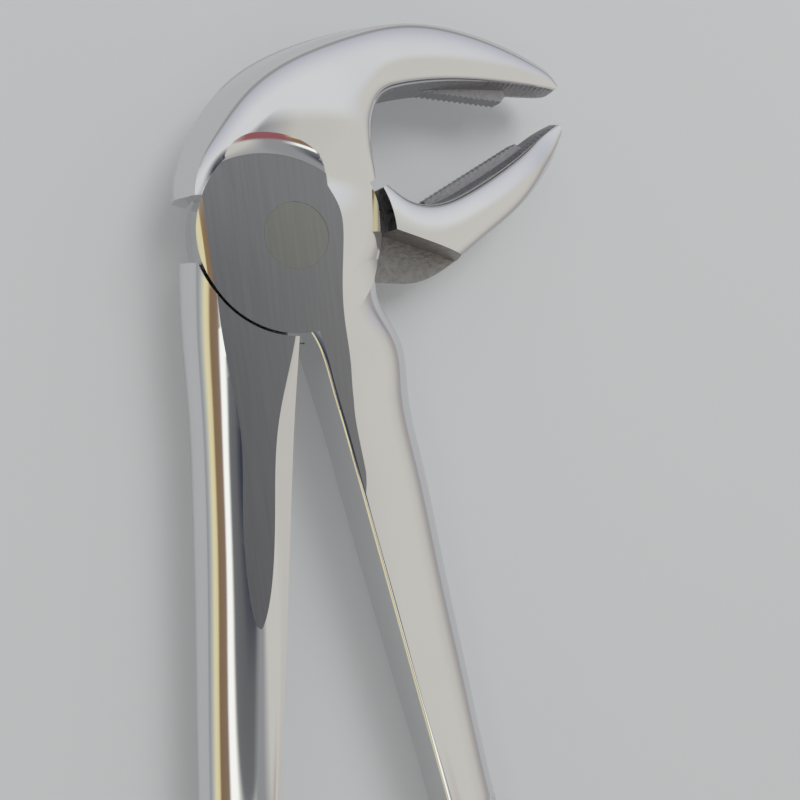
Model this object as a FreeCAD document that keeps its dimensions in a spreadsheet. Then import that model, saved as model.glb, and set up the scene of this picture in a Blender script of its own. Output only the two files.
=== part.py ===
"""Lower molar extraction forceps: two forged halves on a lap joint, held by one flush rivet.

Frame: millimetres, +Z up. The instrument lies flat. The pivot axis is Z, the back joint flat is z = 0,
the handles run towards -Y and the beaks towards +X. Modelled with the beaks partly open.
"""
import FreeCAD, Part
import math
import os

from FreeCAD import Matrix, Vector

SIZES = [
    ("joint_thickness", 10.0, "front joint flat above the back joint flat"),
    ("lap_clearance", 0.06, "running gap between the two lap plates"),
    ("plate_radius", 10.5, "round lap plates about the pivot"),
    ("recess_clearance", 0.3, "recess wall outside the other half's plate"),
    ("pin_radius", 3.0, "rivet shank"),
    ("pin_head_radius", 3.6, "rivet ends, flared into their countersinks"),
    ("pin_head_depth", 1.2, "depth of each countersink"),
    ("pin_running_clearance", 0.05, "rivet in the back half, which turns on it"),
    ("pin_seat_clearance", 0.01, "rivet in the front half, which holds it"),
    ("handle_spread", 19.0, "degrees between the handles as modelled"),
    ("handle_length", 150.0, "pivot to handle end along the handle"),
    ("handle_inner_offset", 0.8, "inner handle face inside its own axis"),
    ("neck_width", 12.4, "handle where it leaves the joint"),
    ("shank_width", 10.2, "handle a fifth of the way down"),
    ("waist_width", 8.1, "narrowest place, above the grip"),
    ("waist_distance", 76.0, "pivot to the narrowest place"),
    ("waist_thickness", 8.6, "handle thickness at the waist"),
    ("grip_width", 9.8, "widest place of the grip"),
    ("grip_distance", 116.0, "pivot to the widest place of the grip"),
    ("grip_thickness", 9.4, "handle thickness at the grip"),
    ("grip_inset", 8.0, "how far the grip bends back towards its partner"),
    ("edge_break", 0.15, "small flat left on every forged edge"),
    ("crown_facets", 6, "facets in each quarter of a forged crown"),
    ("bevel_width", 1.9, "bevel along one inner edge of each handle"),
    ("mill_radius", 11.7, "round top end of the milled joint flat"),
    ("mill_corner", 3.0, "concave corner at the end of the milled flat"),
    ("mill_side", 2.7, "centre of the round end beside the pivot"),
    ("mill_drop", 3.3, "centre of the round end below the pivot"),
    ("beak_reach", 39.2, "pivot axis to the beak tips, along X"),
    ("mouth_height", 14.9, "middle of the open mouth above the pivot"),
    ("beak_root_rise", 1.3, "beak root above the joint flat"),
    ("beak_tip_thickness", 4.0, "beak thickness at the tip"),
    ("notch_half_height", 4.7, "notch at the left of the joint, above the pivot"),
    ("boss_radius", 11.1, "right side of the joint in front, about the pivot"),
    ("shoulder_radius", 12.0, "shoulder of the lower beak about the pivot"),
    ("upper_beak_end", 30.0, "degrees, lower end of the upper beak in the bay"),
    ("lower_beak_end", 24.0, "degrees, upper end of the lower beak in the bay"),
    ("ridge_width", 2.2, "serrated middle ridge of each beak"),
    ("ridge_root_depth", 2.0, "ridge sunk into the beak below its tooth tips"),
    ("ridge_end_slope", 0.8, "run of the slanted end of each ridge"),
    ("ridge_set_back", 9.0, "end of the ridge short of the beak tip, along X"),
    ("tooth_pitch", 0.75, "serration pitch"),
    ("tooth_depth", 0.22, "serration depth"),
]

doc = FreeCAD.newDocument("ExtractionForceps")
sheet = doc.addObject("Spreadsheet::Sheet", "Sizes")
for row, (alias, value, note) in enumerate(SIZES, start=1):
    sheet.set(f"A{row}", alias)
    sheet.set(f"B{row}", str(value))
    sheet.set(f"C{row}", note)
    sheet.setAlias(f"B{row}", alias)
doc.recompute()


def size(alias):
    """One driving dimension from the sheet."""
    return float(sheet.get(alias))


MIDDLE = size("joint_thickness") / 2
SPREAD = math.radians(size("handle_spread") / 2)
FINE = size("edge_break")
ROUND = 0.5523
BEAK_SQUARE = 0.68
BOSS_SQUARE = 0.45
CROWN_PLACE = 0.34
CROWN_LIP = 0.98


# ---------------------------------------------------------------- helpers
def bind(thing, **cells):
    """Bind properties of a document object to expressions over the sheet."""
    for name, expression in cells.items():
        thing.setExpression(name.replace("__", "."), expression)
    return thing


def feature(name, shape):
    """A document object that holds a shape worked out from the sheet."""
    thing = doc.addObject("Part::Feature", name)
    thing.Shape = shape
    return thing


def boolean(kind, name, base, tool):
    """Part::Cut, Part::Fuse or Part::Common of two document objects."""
    thing = doc.addObject("Part::" + kind, name)
    thing.Base = base
    thing.Tool = tool
    return thing


def rounded(start, corner, end, pull=ROUND):
    """Short edges round a quarter turn, tangent to both legs of the corner; a larger pull is squarer."""
    curve = Part.BezierCurve()
    curve.setPoles([start, start + (corner - start) * pull, end + (corner - end) * pull, end])
    points = curve.discretize(int(size("crown_facets")) + 1)
    return [Part.makeLine(*pair) for pair in zip(points, points[1:])]


def limb_section(name, left, right, faces, point, front, back, front_bevel=(FINE, FINE),
                 back_bevel=(FINE, FINE), square=ROUND):
    """Closed section wire of a forged limb between two plan points.

    faces: half heights of the upright faces at the left and right ends, FINE where an end is round
    point: how far the middle of the right face stands out beyond its edges
    front, back: (crest distance from the left end, crest height from the middle)
    front_bevel, back_bevel: (width, drop) of the strips beside the left face
    square: how squarely the crowns turn down
    """
    across = right - left
    width = across.Length
    (crest_f, top), (crest_b, low) = front, back
    (wide_f, drop_f), (wide_b, drop_b) = front_bevel, back_bevel
    face_left, face_right = faces
    edge = width - point
    spots = [
        Vector(0, drop_b - face_left, 0), Vector(0, face_left - drop_f, 0), Vector(wide_f, face_left, 0),
        Vector(crest_f, top, 0), Vector(edge, face_right, 0), Vector(width, 0, 0),
        Vector(edge, -face_right, 0), Vector(crest_b, -low, 0), Vector(wide_b, -face_left, 0),
    ]
    corner_f = Vector(wide_f + (crest_f - wide_f) * face_left / top / 2, top, 0)
    corner_b = Vector(wide_b + (crest_b - wide_b) * face_left / low / 2, -low, 0)
    edges = [
        Part.makeLine(spots[0], spots[1]),
        Part.makeLine(spots[1], spots[2]),
        *rounded(spots[2], corner_f, spots[3], square),
        *rounded(spots[3], Vector(edge, top, 0), spots[4], square),
        Part.makeLine(spots[4], spots[5]),
        Part.makeLine(spots[5], spots[6]),
        *rounded(spots[6], Vector(edge, -low, 0), spots[7], square),
        *rounded(spots[7], corner_b, spots[8], square),
        Part.makeLine(spots[8], spots[0]),
    ]
    along = across.normalize()
    normal = along.cross(Vector(0, 0, 1))
    place = Matrix(along.x, 0, normal.x, left.x,
                   along.y, 0, normal.y, left.y,
                   0, 1, 0, MIDDLE,
                   0, 0, 0, 1)
    return feature(name, Part.Wire(edges).transformGeometry(place))


def loft(name, sections):
    """Solid through a row of section wires."""
    thing = doc.addObject("Part::Loft", name)
    thing.Sections = sections
    thing.Solid = True
    thing.Ruled = True
    return thing


def cylinder(name, radius, bottom, height):
    """Cylinder about the pivot axis, its sizes given as expressions."""
    return bind(doc.addObject("Part::Cylinder", name), Radius=radius, Placement__Base__z=bottom, Height=height)


def prism(name, outline, bottom, top):
    """Straight solid over a closed plan outline."""
    face = Part.Face(Part.makePolygon(outline + outline[:1]))
    solid = face.extrude(Vector(0, 0, top - bottom))
    solid.translate(Vector(0, 0, bottom))
    return feature(name, solid)


def polar(radius, degrees):
    """Plan point at a radius and an angle about the pivot."""
    return Vector(radius * math.cos(math.radians(degrees)), radius * math.sin(math.radians(degrees)), 0)


# ---------------------------------------------------------------- handles
def handle_point(side, out, down):
    """Plan point of a handle: out from its own axis and down from the pivot, side +1 right, -1 left."""
    x = out * math.cos(SPREAD) + down * math.sin(SPREAD)
    y = out * math.sin(SPREAD) - down * math.cos(SPREAD)
    return Vector(side * x, y, 0)


def handle_sections(name, side, stations):
    """Section wires of a handle, crowned over its middle on one side and over its inner edge on the other.

    Each station is (distance down, inward bend, width, middle crown height, edge crown height,
    edge crown distance, bevel width). The left handle has its middle crown and its bevel in front.
    """
    inner = -size("handle_inner_offset")
    sections = []
    for number, (down, bend, width, crown, edge, edge_at, bevel) in enumerate(stations, start=1):
        low_edge = handle_point(side, inner - bend, down)
        high_edge = handle_point(side, inner - bend + width, down)
        middle_crown = (width * CROWN_PLACE, crown)
        edge_crown = (edge_at, edge)
        lip = min(crown, edge) * CROWN_LIP
        fronts = (edge_crown, middle_crown) if side > 0 else (middle_crown, edge_crown)
        bevels = ((FINE, FINE), (bevel, bevel / 2))
        bevels = bevels if side > 0 else bevels[::-1]
        sections.append(limb_section(f"{name}_section_{number}", low_edge, high_edge, (lip, FINE), 0.0,
                                     fronts[0], fronts[1], bevels[0], bevels[1]))
    return sections


def handle_stations():
    """Stations from below the joint to the handle's end."""
    shank, waist, grip = (size(k) for k in ("shank_width", "waist_width", "grip_width"))
    waist_at, grip_at, end = size("waist_distance"), size("grip_distance"), size("handle_length")
    inset, bevel = size("grip_inset"), size("bevel_width")
    half = MIDDLE
    waist_half, grip_half = size("waist_thickness") / 2, size("grip_thickness") / 2
    between = (waist_half + grip_half) / 2
    return [
        (20.0, 0.0, shank + 0.7, half + 0.6, half + 0.03, 0.7, bevel),
        (30.0, 0.0, shank, half + 0.42, half, 0.4, bevel),
        (44.0, 0.0, (shank * 2 + waist) / 3, half - 0.02, half - 0.2, 0.4, bevel * 0.6),
        (waist_at - 16, 0.0, (shank + waist * 2) / 3, (half + waist_half) / 2, half - 0.5, 0.4, bevel / 3),
        (waist_at, 0.0, waist, waist_half, waist_half, 0.6, bevel / 3),
        ((waist_at + grip_at) / 2, inset * 0.12, (waist + grip) / 2, between, between, 0.8, bevel / 3),
        (grip_at, inset * 0.42, grip, grip_half, grip_half, grip * CROWN_PLACE, bevel / 3),
        (end - 13, inset * 0.82, grip * 0.95, grip_half * 0.97, grip_half * 0.97, grip * CROWN_PLACE, bevel / 3),
        (end - 4, inset * 0.84, grip * 0.82, grip_half * 0.84, grip_half * 0.84, grip * 0.3, bevel / 4),
        (end - 1, inset * 0.73, grip * 0.55, grip_half * 0.56, grip_half * 0.56, grip * 0.2, bevel / 8),
        (end, inset * 0.57, grip * 0.25, grip_half * 0.26, grip_half * 0.26, grip * 0.1, bevel / 16),
    ]


# ---------------------------------------------------------------- beaks
def beak_sections(name, stations, rim=2 * FINE, square=BEAK_SQUARE):
    """Section wires through (outer point, inner point, half lip, middle point, front, back) rows.

    rim is the half height left upright at the outer end.
    """
    sections = []
    for number, (outer, inner, lip, point, front, back) in enumerate(stations, start=1):
        outer, inner = Vector(*outer, 0), Vector(*inner, 0)
        width = (inner - outer).Length
        sections.append(limb_section(f"{name}_section_{number}", outer, inner, (rim, lip), point,
                                     (width * front[0], front[1]), (width * back[0], back[1]),
                                     square=square))
    return sections


def front_blank():
    """Forging of the front half in one loft: upper beak, right side of the joint, right handle."""
    reach, mouth = size("beak_reach"), size("mouth_height")
    half, rise, tip = MIDDLE, size("beak_root_rise"), size("beak_tip_thickness") / 2
    boss = size("boss_radius")
    neck = size("neck_width")
    lip = mouth + 1.9
    sections = beak_sections("upper_beak", [
        ((reach - 0.1, lip + 1.2), (reach - 1.1, lip + 0.1), tip * 0.8, 0.35, (0.5, tip), (0.5, tip)),
        ((reach - 1.0, lip + 2.3), (reach - 2.2, lip), tip * 0.95, 0.5, (0.5, tip * 1.15), (0.5, tip * 1.15)),
        ((reach - 3.3, lip + 3.7), (reach - 4.8, lip), tip * 1.1, 0.6, (0.5, half * 0.56), (0.5, half * 0.56)),
        ((30.4, lip + 5.6), (28.8, lip), half * 0.52, 0.7, (0.5, half * 0.72), (0.5, half * 0.72)),
        ((23.4, lip + 7.1), (22.8, lip - 0.1), half * 0.58, 0.7, (0.5, half * 0.84), (0.5, half * 0.84)),
        ((16.2, lip + 7.4), (17.0, lip - 0.5), half * 0.62, 0.5, (0.5, half * 0.93), (0.5, half * 0.93)),
        ((9.2, lip + 6.3), (12.8, lip - 1.5), half * 0.68, 0.3, (0.5, half + rise * 0.1), (0.5, half * 0.98)),
        ((1.6, lip + 3.9), (11.3, lip - 3.2), half * 0.72, 0.2, (0.48, half + rise * 0.5), (0.5, half)),
        ((-4.6, lip + 0.4), (10.6, lip - 5.2), half * 0.75, 0.1, (0.42, half + rise * 0.75), (0.5, half)),
        ((-9.0, lip - 4.8), (10.4, lip - 7.4), half * 0.78, 0.1, (0.32, half + rise * 0.75), (0.5, half)),
    ])
    sections += beak_sections("boss", [
        ((-11.3, lip - 9.6), (10.6, lip - 10.0), half * 0.74, 0.1, (0.16, half + rise * 0.55), (0.5, half)),
        ((-11.8, 3.0), (boss - 0.2, 3.2), half * 0.65, 0.1, (0.4, half + 0.5), (0.5, half + 0.3)),
        ((-9.0, -1.6), (boss + 0.1, 0.0), half * 0.56, 0.1, (0.45, half + 0.32), (0.5, half + 0.4)),
    ], square=BOSS_SQUARE)
    sections += beak_sections("crotch", [
        ((-3.0, -6.4), (boss - 0.6, -3.5), half * 0.44, 0.1, (0.3, half + 0.24), (0.45, half + 0.6)),
        ((-0.6, -8.9), (boss - 1.4, -6.5), half * 0.32, 0.1, (0.2, half + 0.26), (0.4, half + 0.8)),
    ], half * CROWN_LIP, BOSS_SQUARE)
    low_edge, high_edge = handle_point(1, -size("handle_inner_offset"), 12.2), handle_point(1, neck - 2.5, 12.2)
    sections.append(limb_section("right_neck_section_1", low_edge, high_edge, (half * 0.98, half * 0.2), 0.1,
                                 (1.4, half + 0.08), (neck * CROWN_PLACE, half + 0.9),
                                 back_bevel=(0.5, 0.25), square=BEAK_SQUARE))
    high_edge = handle_point(1, neck - 1.6, 15.2)
    low_edge = handle_point(1, -size("handle_inner_offset"), 15.2)
    sections.append(limb_section("right_neck_section_2", low_edge, high_edge, (half * 0.98, half * 0.1), 0.05,
                                 (1.0, half + 0.05), (neck * CROWN_PLACE, half + 0.8),
                                 back_bevel=(1.0, 0.5)))
    return loft("front_blank", sections + handle_sections("right_handle", 1, handle_stations()))


def left_blank():
    """Forging of the left handle, from inside the joint to its end."""
    neck, half = size("neck_width"), MIDDLE
    top = [
        (3.8, 0.0, neck, half + 1.5, half + 0.15, 1.4, 0.1),
        (11.0, 0.0, neck - 0.5, half + 1.0, half + 0.1, 1.4, size("bevel_width") * 0.3),
    ]
    return loft("left_handle_blank", handle_sections("left_handle", -1, top + handle_stations()))


def lower_beak():
    """Forging of the lower beak, leaving the joint to the right; its root stands below the back joint flat."""
    reach = size("beak_reach")
    half, rise, tip = MIDDLE, size("beak_root_rise"), size("beak_tip_thickness") / 2
    return loft("lower_beak_blank", beak_sections("lower_beak", [
        ((5.0, -6.2), (5.6, 7.6), half * 0.86, 0.1, (0.5, half * 0.9), (0.5, half + rise * 0.7)),
        ((11.0, -5.6), (11.2, 5.6), half * 0.84, 0.1, (0.5, half * 0.98), (0.5, half + rise)),
        ((15.8, -6.0), (14.0, 3.7), half * 0.78, 0.1, (0.5, half), (0.5, half + rise * 0.8)),
        ((20.4, -4.6), (17.6, 3.2), half * 0.68, 0.3, (0.5, half * 0.98), (0.5, half + rise * 0.3)),
        ((25.8, -1.5), (22.5, 5.0), half * 0.58, 0.7, (0.5, half * 0.93), (0.5, half * 0.93)),
        ((30.8, 1.8), (27.5, 7.5), half * 0.5, 0.8, (0.5, half * 0.82), (0.5, half * 0.82)),
        ((34.7, 5.3), (32.0, 10.0), half * 0.44, 0.8, (0.5, half * 0.66), (0.5, half * 0.66)),
        ((37.7, 8.8), (35.8, 12.1), tip * 0.95, 0.6, (0.5, tip * 1.15), (0.5, tip * 1.15)),
        ((reach, 11.5), (reach - 0.8, 13.2), tip * 0.8, 0.35, (0.5, tip), (0.5, tip)),
    ]))


def ridge(name, root, end, away):
    """Serrated middle ridge along a beak's inner face.

    root and end are the ends of the tooth tips' line, and away points out of the face into the mouth.
    """
    along = end - root
    length = along.Length
    along.normalize()
    teeth = int(length // size("tooth_pitch"))
    pitch = length / teeth
    sink = away * -size("ridge_root_depth")
    outline = [end + sink, root + sink]
    for tooth in range(teeth):
        start = root + along * (tooth * pitch)
        outline.append(start)
        outline.append(start + along * (pitch / 2) - away * size("tooth_depth"))
    outline.append(end)
    outline.append(end + along * size("ridge_end_slope") + sink / 2)
    half = size("ridge_width") / 2
    return prism(name, outline, MIDDLE - half, MIDDLE + half)


# ---------------------------------------------------------------- joint
def joint_form():
    """Rounded outside form that both lap plates share: a front and a back crown along Y."""
    reach = size("plate_radius") + 4
    left, crest_left, crest_right, right = -12.4, -4.0, -0.8, 12.2
    tall, shallow = MIDDLE + 1.6, MIDDLE + 0.4

    def point(x, z):
        return Vector(x, -reach, MIDDLE + z)

    edges = [
        *rounded(point(left, 0), point(left, tall), point(crest_left, tall)),
        Part.makeLine(point(crest_left, tall), point(crest_right, shallow)),
        *rounded(point(crest_right, shallow), point(right, shallow), point(right, 0)),
        *rounded(point(right, 0), point(right, -tall), point(-crest_left, -tall)),
        Part.makeLine(point(-crest_left, -tall), point(-crest_right, -shallow)),
        *rounded(point(-crest_right, -shallow), point(left, -shallow), point(left, 0)),
    ]
    return feature("joint_form", Part.Face(Part.Wire(edges)).extrude(Vector(0, 2 * reach, 0)))


def mill(name, bottom, height, flip):
    """Cutter that leaves a joint flat with a round, hollow-cornered end; flip is 1 in front, -1 behind."""
    corner = size("mill_corner")
    centre = Vector(-size("mill_side") * flip, -size("mill_drop"), bottom)
    round_end = Part.makeCylinder(size("mill_radius") + corner, height, centre)
    low = bottom if flip > 0 else bottom + height
    rim = [e for e in round_end.Edges if abs(e.BoundBox.ZMin - low) < 1e-6 and abs(e.BoundBox.ZMax - low) < 1e-6]
    round_end = round_end.makeFillet(corner, rim)
    bench = Part.makeBox(4 * size("mill_radius"), 6 * size("mill_radius"), height,
                         Vector(-2 * size("mill_radius"), -6 * size("mill_radius") - size("mill_drop"), bottom))
    return feature(name, round_end.fuse(bench))


def rivet():
    """Rivet with both ends flared, drawn as one half section and revolved."""
    body = doc.addObject("PartDesign::Body", "pivot_pin")
    plane = next(f for f in body.Origin.OriginFeatures if f.Role == "XZ_Plane")
    sketch = body.newObject("Sketcher::SketchObject", "rivet_profile")
    sketch.AttachmentSupport = (plane, "")
    sketch.MapMode = "FlatFace"
    thick, shank, head, depth = (size(k) for k in ("joint_thickness", "pin_radius", "pin_head_radius",
                                                   "pin_head_depth"))
    profile = [(0, 0), (head, 0), (shank, depth), (shank, thick - depth), (head, thick), (0, thick)]
    for start, end in zip(profile, profile[1:] + profile[:1]):
        sketch.addGeometry(Part.LineSegment(Vector(*start, 0), Vector(*end, 0)))
    revolve = body.newObject("PartDesign::Revolution", "rivet_form")
    revolve.Profile = sketch
    revolve.ReferenceAxis = (sketch, ["V_Axis"])
    revolve.Angle = 360
    body.Tip = revolve
    return body


def rivet_hole(name, clearance):
    """Hole for the rivet: shank and both countersinks grown by one clearance."""
    thick, shank, head, depth = (size(k) for k in ("joint_thickness", "pin_radius", "pin_head_radius",
                                                   "pin_head_depth"))
    profile = [(0, -1), (head + clearance, -1), (head + clearance, 0), (shank + clearance, depth),
               (shank + clearance, thick - depth), (head + clearance, thick), (head + clearance, thick + 1),
               (0, thick + 1)]
    face = Part.Face(Part.makePolygon([Vector(x, 0, z) for x, z in profile + profile[:1]]))
    return feature(name, face.revolve(Vector(), Vector(0, 0, 1), 360))


def sector(name, start, stop, inside, bottom, top):
    """Ring sector about the pivot, from a radius out past the beaks' roots."""
    far = size("plate_radius") * 1.7
    inner = [polar(inside, start + (stop - start) * step / 8) for step in range(9)]
    outer = [polar(far, stop), polar(far, (start + stop) / 2), polar(far, start)]
    return prism(name, inner + outer, bottom, top)


def chain(kind, name, base, tools):
    """Apply one boolean with several tools in turn; the last object takes the name."""
    for number, tool in enumerate(tools, start=1):
        last = number == len(tools)
        base = boolean(kind, name if last else f"{name}_{number}", base, tool)
    return base


SKY = 40.0
form = joint_form()
front_mill = mill("front_mill", size("joint_thickness"), SKY, 1)
back_mill = mill("back_mill", -SKY, SKY, -1)
lap_front = MIDDLE + size("lap_clearance") / 2
lap_back = MIDDLE - size("lap_clearance") / 2
ridge_end = size("beak_reach") - size("ridge_set_back")


def upper_half():
    """Front half: upper beak, front lap plate and right handle."""
    plate = cylinder("front_plate_disc", "Sizes.plate_radius",
                     "(Sizes.joint_thickness + Sizes.lap_clearance) / 2",
                     "(Sizes.joint_thickness - Sizes.lap_clearance) / 2")
    plate = boolean("Common", "front_plate", plate, form)
    back_recess = cylinder("back_recess", "Sizes.plate_radius + Sizes.recess_clearance", "-20",
                           "20 + (Sizes.joint_thickness + Sizes.lap_clearance) / 2")
    # behind the lap, the right side stays clear of the lower beak's root and heel as the forceps open
    clear = prism("root_clearance", [Vector(0, 0, 0), handle_point(1, -4, 11.5), handle_point(1, 5.5, 12.8),
                                     handle_point(1, 13.5, 18.6), handle_point(1, 24, 18.6), Vector(30, 0, 0),
                                     polar(24, size("upper_beak_end"))], -SKY, lap_front)
    # left of the pivot the round plate alone is left between the beak's rim and the handle
    notch = prism("notch", [Vector(-2, size("notch_half_height"), 0), Vector(-20, size("notch_half_height"), 0),
                            Vector(-20, -14, 0), Vector(-2, -14, 0)], -SKY, SKY)
    bay = sector("boss_side", -24, size("upper_beak_end"), size("boss_radius"), -SKY, SKY)
    blank = chain("Cut", "front_trimmed", front_blank(), [back_recess, clear, notch, bay, front_mill])
    plate = boolean("Cut", "front_plate_milled", plate, front_mill)
    lip = size("mouth_height") + 1.9
    pad = ridge("upper_ridge", Vector(17.0, lip - 0.1, 0), Vector(ridge_end, lip - 1.2, 0), Vector(0, -1, 0))
    body = chain("Fuse", "front_joined", blank, [pad, plate])
    return chain("Cut", "upper_beak_half", body,
                 [back_mill, rivet_hole("front_rivet_hole", size("pin_seat_clearance"))])


def lower_half():
    """Back half: lower beak, back lap plate and left handle."""
    plate = cylinder("back_plate_disc", "Sizes.plate_radius", "0",
                     "(Sizes.joint_thickness - Sizes.lap_clearance) / 2")
    plate = boolean("Common", "back_plate", plate, form)
    front_recess = cylinder("front_recess", "Sizes.plate_radius + Sizes.recess_clearance",
                            "(Sizes.joint_thickness - Sizes.lap_clearance) / 2", "20")
    shoulder = feature("lower_beak_shoulder", Part.makeCylinder(size("shoulder_radius"), SKY,
                                                                Vector(0, 0, lap_back)))
    # the heel: below this line only the back half of the lower beak root is left
    heel = prism("lower_beak_heel", [Vector(4, 3.2, 0), Vector(12.8, -0.2, 0), Vector(26, -5.2, 0),
                                     Vector(26, -14, 0), Vector(4, -14, 0)], lap_back, SKY)
    beak_end = sector("lower_beak_end_cut", size("lower_beak_end"), 120, size("plate_radius"), -SKY, SKY)
    jaw = chain("Cut", "lower_beak_trimmed", lower_beak(), [shoulder, heel, beak_end])
    pad = ridge("lower_ridge", Vector(17.8, 3.7, 0), Vector(ridge_end + 1.6, 10.5, 0), Vector(-0.45, 0.89, 0))
    body = chain("Fuse", "lower_half_blank", jaw, [pad, left_blank()])
    body = chain("Cut", "lower_half_cut", body, [front_recess])
    body = boolean("Fuse", "lower_half_joined", body, plate)
    return chain("Cut", "lower_beak_half", body,
                 [front_mill, back_mill, rivet_hole("back_rivet_hole", size("pin_running_clearance"))])


nodes = [upper_half(), lower_half(), rivet()]
doc.recompute()

for thing in doc.Objects:
    if "Invalid" in thing.State or "Error" in thing.State:
        raise RuntimeError(f"{thing.Name} failed: {thing.State}")

os.makedirs("parts", exist_ok=True)
for node in nodes:
    shape = node.Shape
    if shape.isNull() or not shape.isValid():
        raise RuntimeError(f"{node.Label} has no valid shape")
    print(node.Label, "solids", len(shape.Solids), "faces", len(shape.Faces), "volume", round(shape.Volume, 1))
    shape.exportStep(f"parts/{node.Label}.step")
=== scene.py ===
"""Dress the extraction forceps: polished forgings, ground joint flats, serrated beaks.

Lengths in the classes are millimetres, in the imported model's frame: the pivot axis is Z, the back
joint flat is z = 0, the handles run towards -Y and the beaks towards +X.
"""
from __future__ import annotations

import logging
import math
from dataclasses import dataclass
from enum import Enum
from typing import Sequence

import bmesh
import bpy
import numpy as np
from mathutils import Matrix, Vector

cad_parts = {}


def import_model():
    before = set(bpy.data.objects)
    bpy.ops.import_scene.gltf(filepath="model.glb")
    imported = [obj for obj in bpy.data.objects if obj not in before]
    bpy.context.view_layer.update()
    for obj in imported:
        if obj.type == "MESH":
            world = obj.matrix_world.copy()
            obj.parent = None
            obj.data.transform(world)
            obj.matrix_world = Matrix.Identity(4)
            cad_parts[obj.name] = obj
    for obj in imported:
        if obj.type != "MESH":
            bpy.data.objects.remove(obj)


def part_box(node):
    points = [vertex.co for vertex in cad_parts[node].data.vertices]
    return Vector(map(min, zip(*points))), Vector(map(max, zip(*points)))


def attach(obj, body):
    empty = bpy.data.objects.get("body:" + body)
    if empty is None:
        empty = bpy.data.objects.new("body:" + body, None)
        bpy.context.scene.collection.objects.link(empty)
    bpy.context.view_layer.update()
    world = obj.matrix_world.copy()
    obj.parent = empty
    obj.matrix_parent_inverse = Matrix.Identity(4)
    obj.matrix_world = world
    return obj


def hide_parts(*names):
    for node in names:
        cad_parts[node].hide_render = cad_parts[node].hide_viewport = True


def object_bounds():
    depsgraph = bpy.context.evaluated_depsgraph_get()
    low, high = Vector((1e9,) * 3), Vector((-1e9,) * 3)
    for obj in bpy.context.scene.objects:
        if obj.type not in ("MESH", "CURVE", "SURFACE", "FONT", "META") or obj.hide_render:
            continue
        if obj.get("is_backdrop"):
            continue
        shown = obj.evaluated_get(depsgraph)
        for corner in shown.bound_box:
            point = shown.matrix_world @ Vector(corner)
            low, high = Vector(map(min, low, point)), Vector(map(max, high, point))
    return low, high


LOG = logging.getLogger("forceps")
MM = 0.001
FAR = 40.0
ROUND = 0.5523
FINE_BEVEL = (0.15, 0.15)
ROW_SPACING = 0.42
FINE_SPACING = 0.15
FINE_LENGTH = 16.0


# ------------------------------------------------------------------ shader maths
class Sock:
    """A shader socket whose arithmetic adds Math nodes."""

    def __init__(self, shader: "Shader", link: bpy.types.NodeSocket | None) -> None:
        """Wrap one output socket."""
        self.shader = shader
        self.link = link

    def _math(self, operation: str, *values: "Sock | float") -> "Sock":
        """Add one Math node."""
        return self.shader.node("ShaderNodeMath", {"operation": operation}, dict(enumerate(values)))

    def __add__(self, other: "Sock | float") -> "Sock":
        """Sum."""
        return self._math("ADD", self, other)

    __radd__ = __add__

    def __sub__(self, other: "Sock | float") -> "Sock":
        """Difference."""
        return self._math("SUBTRACT", self, other)

    def __rsub__(self, other: float) -> "Sock":
        """Difference from a number."""
        return self._math("SUBTRACT", other, self)

    def __mul__(self, other: "Sock | float") -> "Sock":
        """Product."""
        return self._math("MULTIPLY", self, other)

    __rmul__ = __mul__

    def clamp(self) -> "Sock":
        """Limit to the range from 0 to 1."""
        return self._math("MINIMUM", self._math("MAXIMUM", self, 0.0), 1.0)


class Shader:
    """Builds the node tree of one material or world."""

    def __init__(self, tree: bpy.types.NodeTree) -> None:
        """Start from an empty tree."""
        self.tree = tree
        tree.nodes.clear()

    def node(self, kind: str, settings: dict | None = None, inputs: dict | None = None,
             output: int = 0) -> Sock:
        """Make a node.

        Args:
            kind: the node's type name.
            settings: attributes to set first; "stops" fills a colour ramp.
            inputs: values or sockets by input name or number.
            output: which output to return.

        Returns:
            The chosen output, ready for arithmetic.
        """
        made = self.tree.nodes.new(kind)
        for name, value in (settings or {}).items():
            if name == "stops":
                self._fill_ramp(made.color_ramp, value)
            else:
                setattr(made, name, value)
        for name, value in (inputs or {}).items():
            if isinstance(value, Sock):
                self.tree.links.new(value.link, made.inputs[name])
            else:
                made.inputs[name].default_value = value
        return Sock(self, made.outputs[output] if made.outputs else None)

    @staticmethod
    def _fill_ramp(ramp: bpy.types.ColorRamp, stops: Sequence[tuple[float, tuple]]) -> None:
        """Give a colour ramp its stops."""
        while len(ramp.elements) > len(stops):
            ramp.elements.remove(ramp.elements[-1])
        while len(ramp.elements) < len(stops):
            ramp.elements.new(1.0)
        for element, (place, colour) in zip(ramp.elements, stops):
            element.position = place
            element.color = (*colour, 1.0)

    def stretched(self, scale: tuple[float, float, float]) -> Sock:
        """Object coordinates scaled along each axis."""
        coordinates = self.node("ShaderNodeTexCoord", output=3)
        return self.node("ShaderNodeMapping", {}, {"Vector": coordinates, "Scale": scale})

    def noise(self, scale: tuple[float, float, float], detail: float = 3.0) -> Sock:
        """Noise from 0 to 1 with its own scale along each axis, in grains per metre."""
        return self.node("ShaderNodeTexNoise", {}, {"Vector": self.stretched(scale), "Scale": 1.0,
                                                    "Detail": detail})

    def blend(self, factor: Sock | float, low: tuple, high: tuple) -> Sock:
        """Mix two colours."""
        settings = {"data_type": "RGBA"}
        return self.node("ShaderNodeMix", settings, {0: factor, 6: (*low, 1.0), 7: (*high, 1.0)}, output=2)


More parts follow.
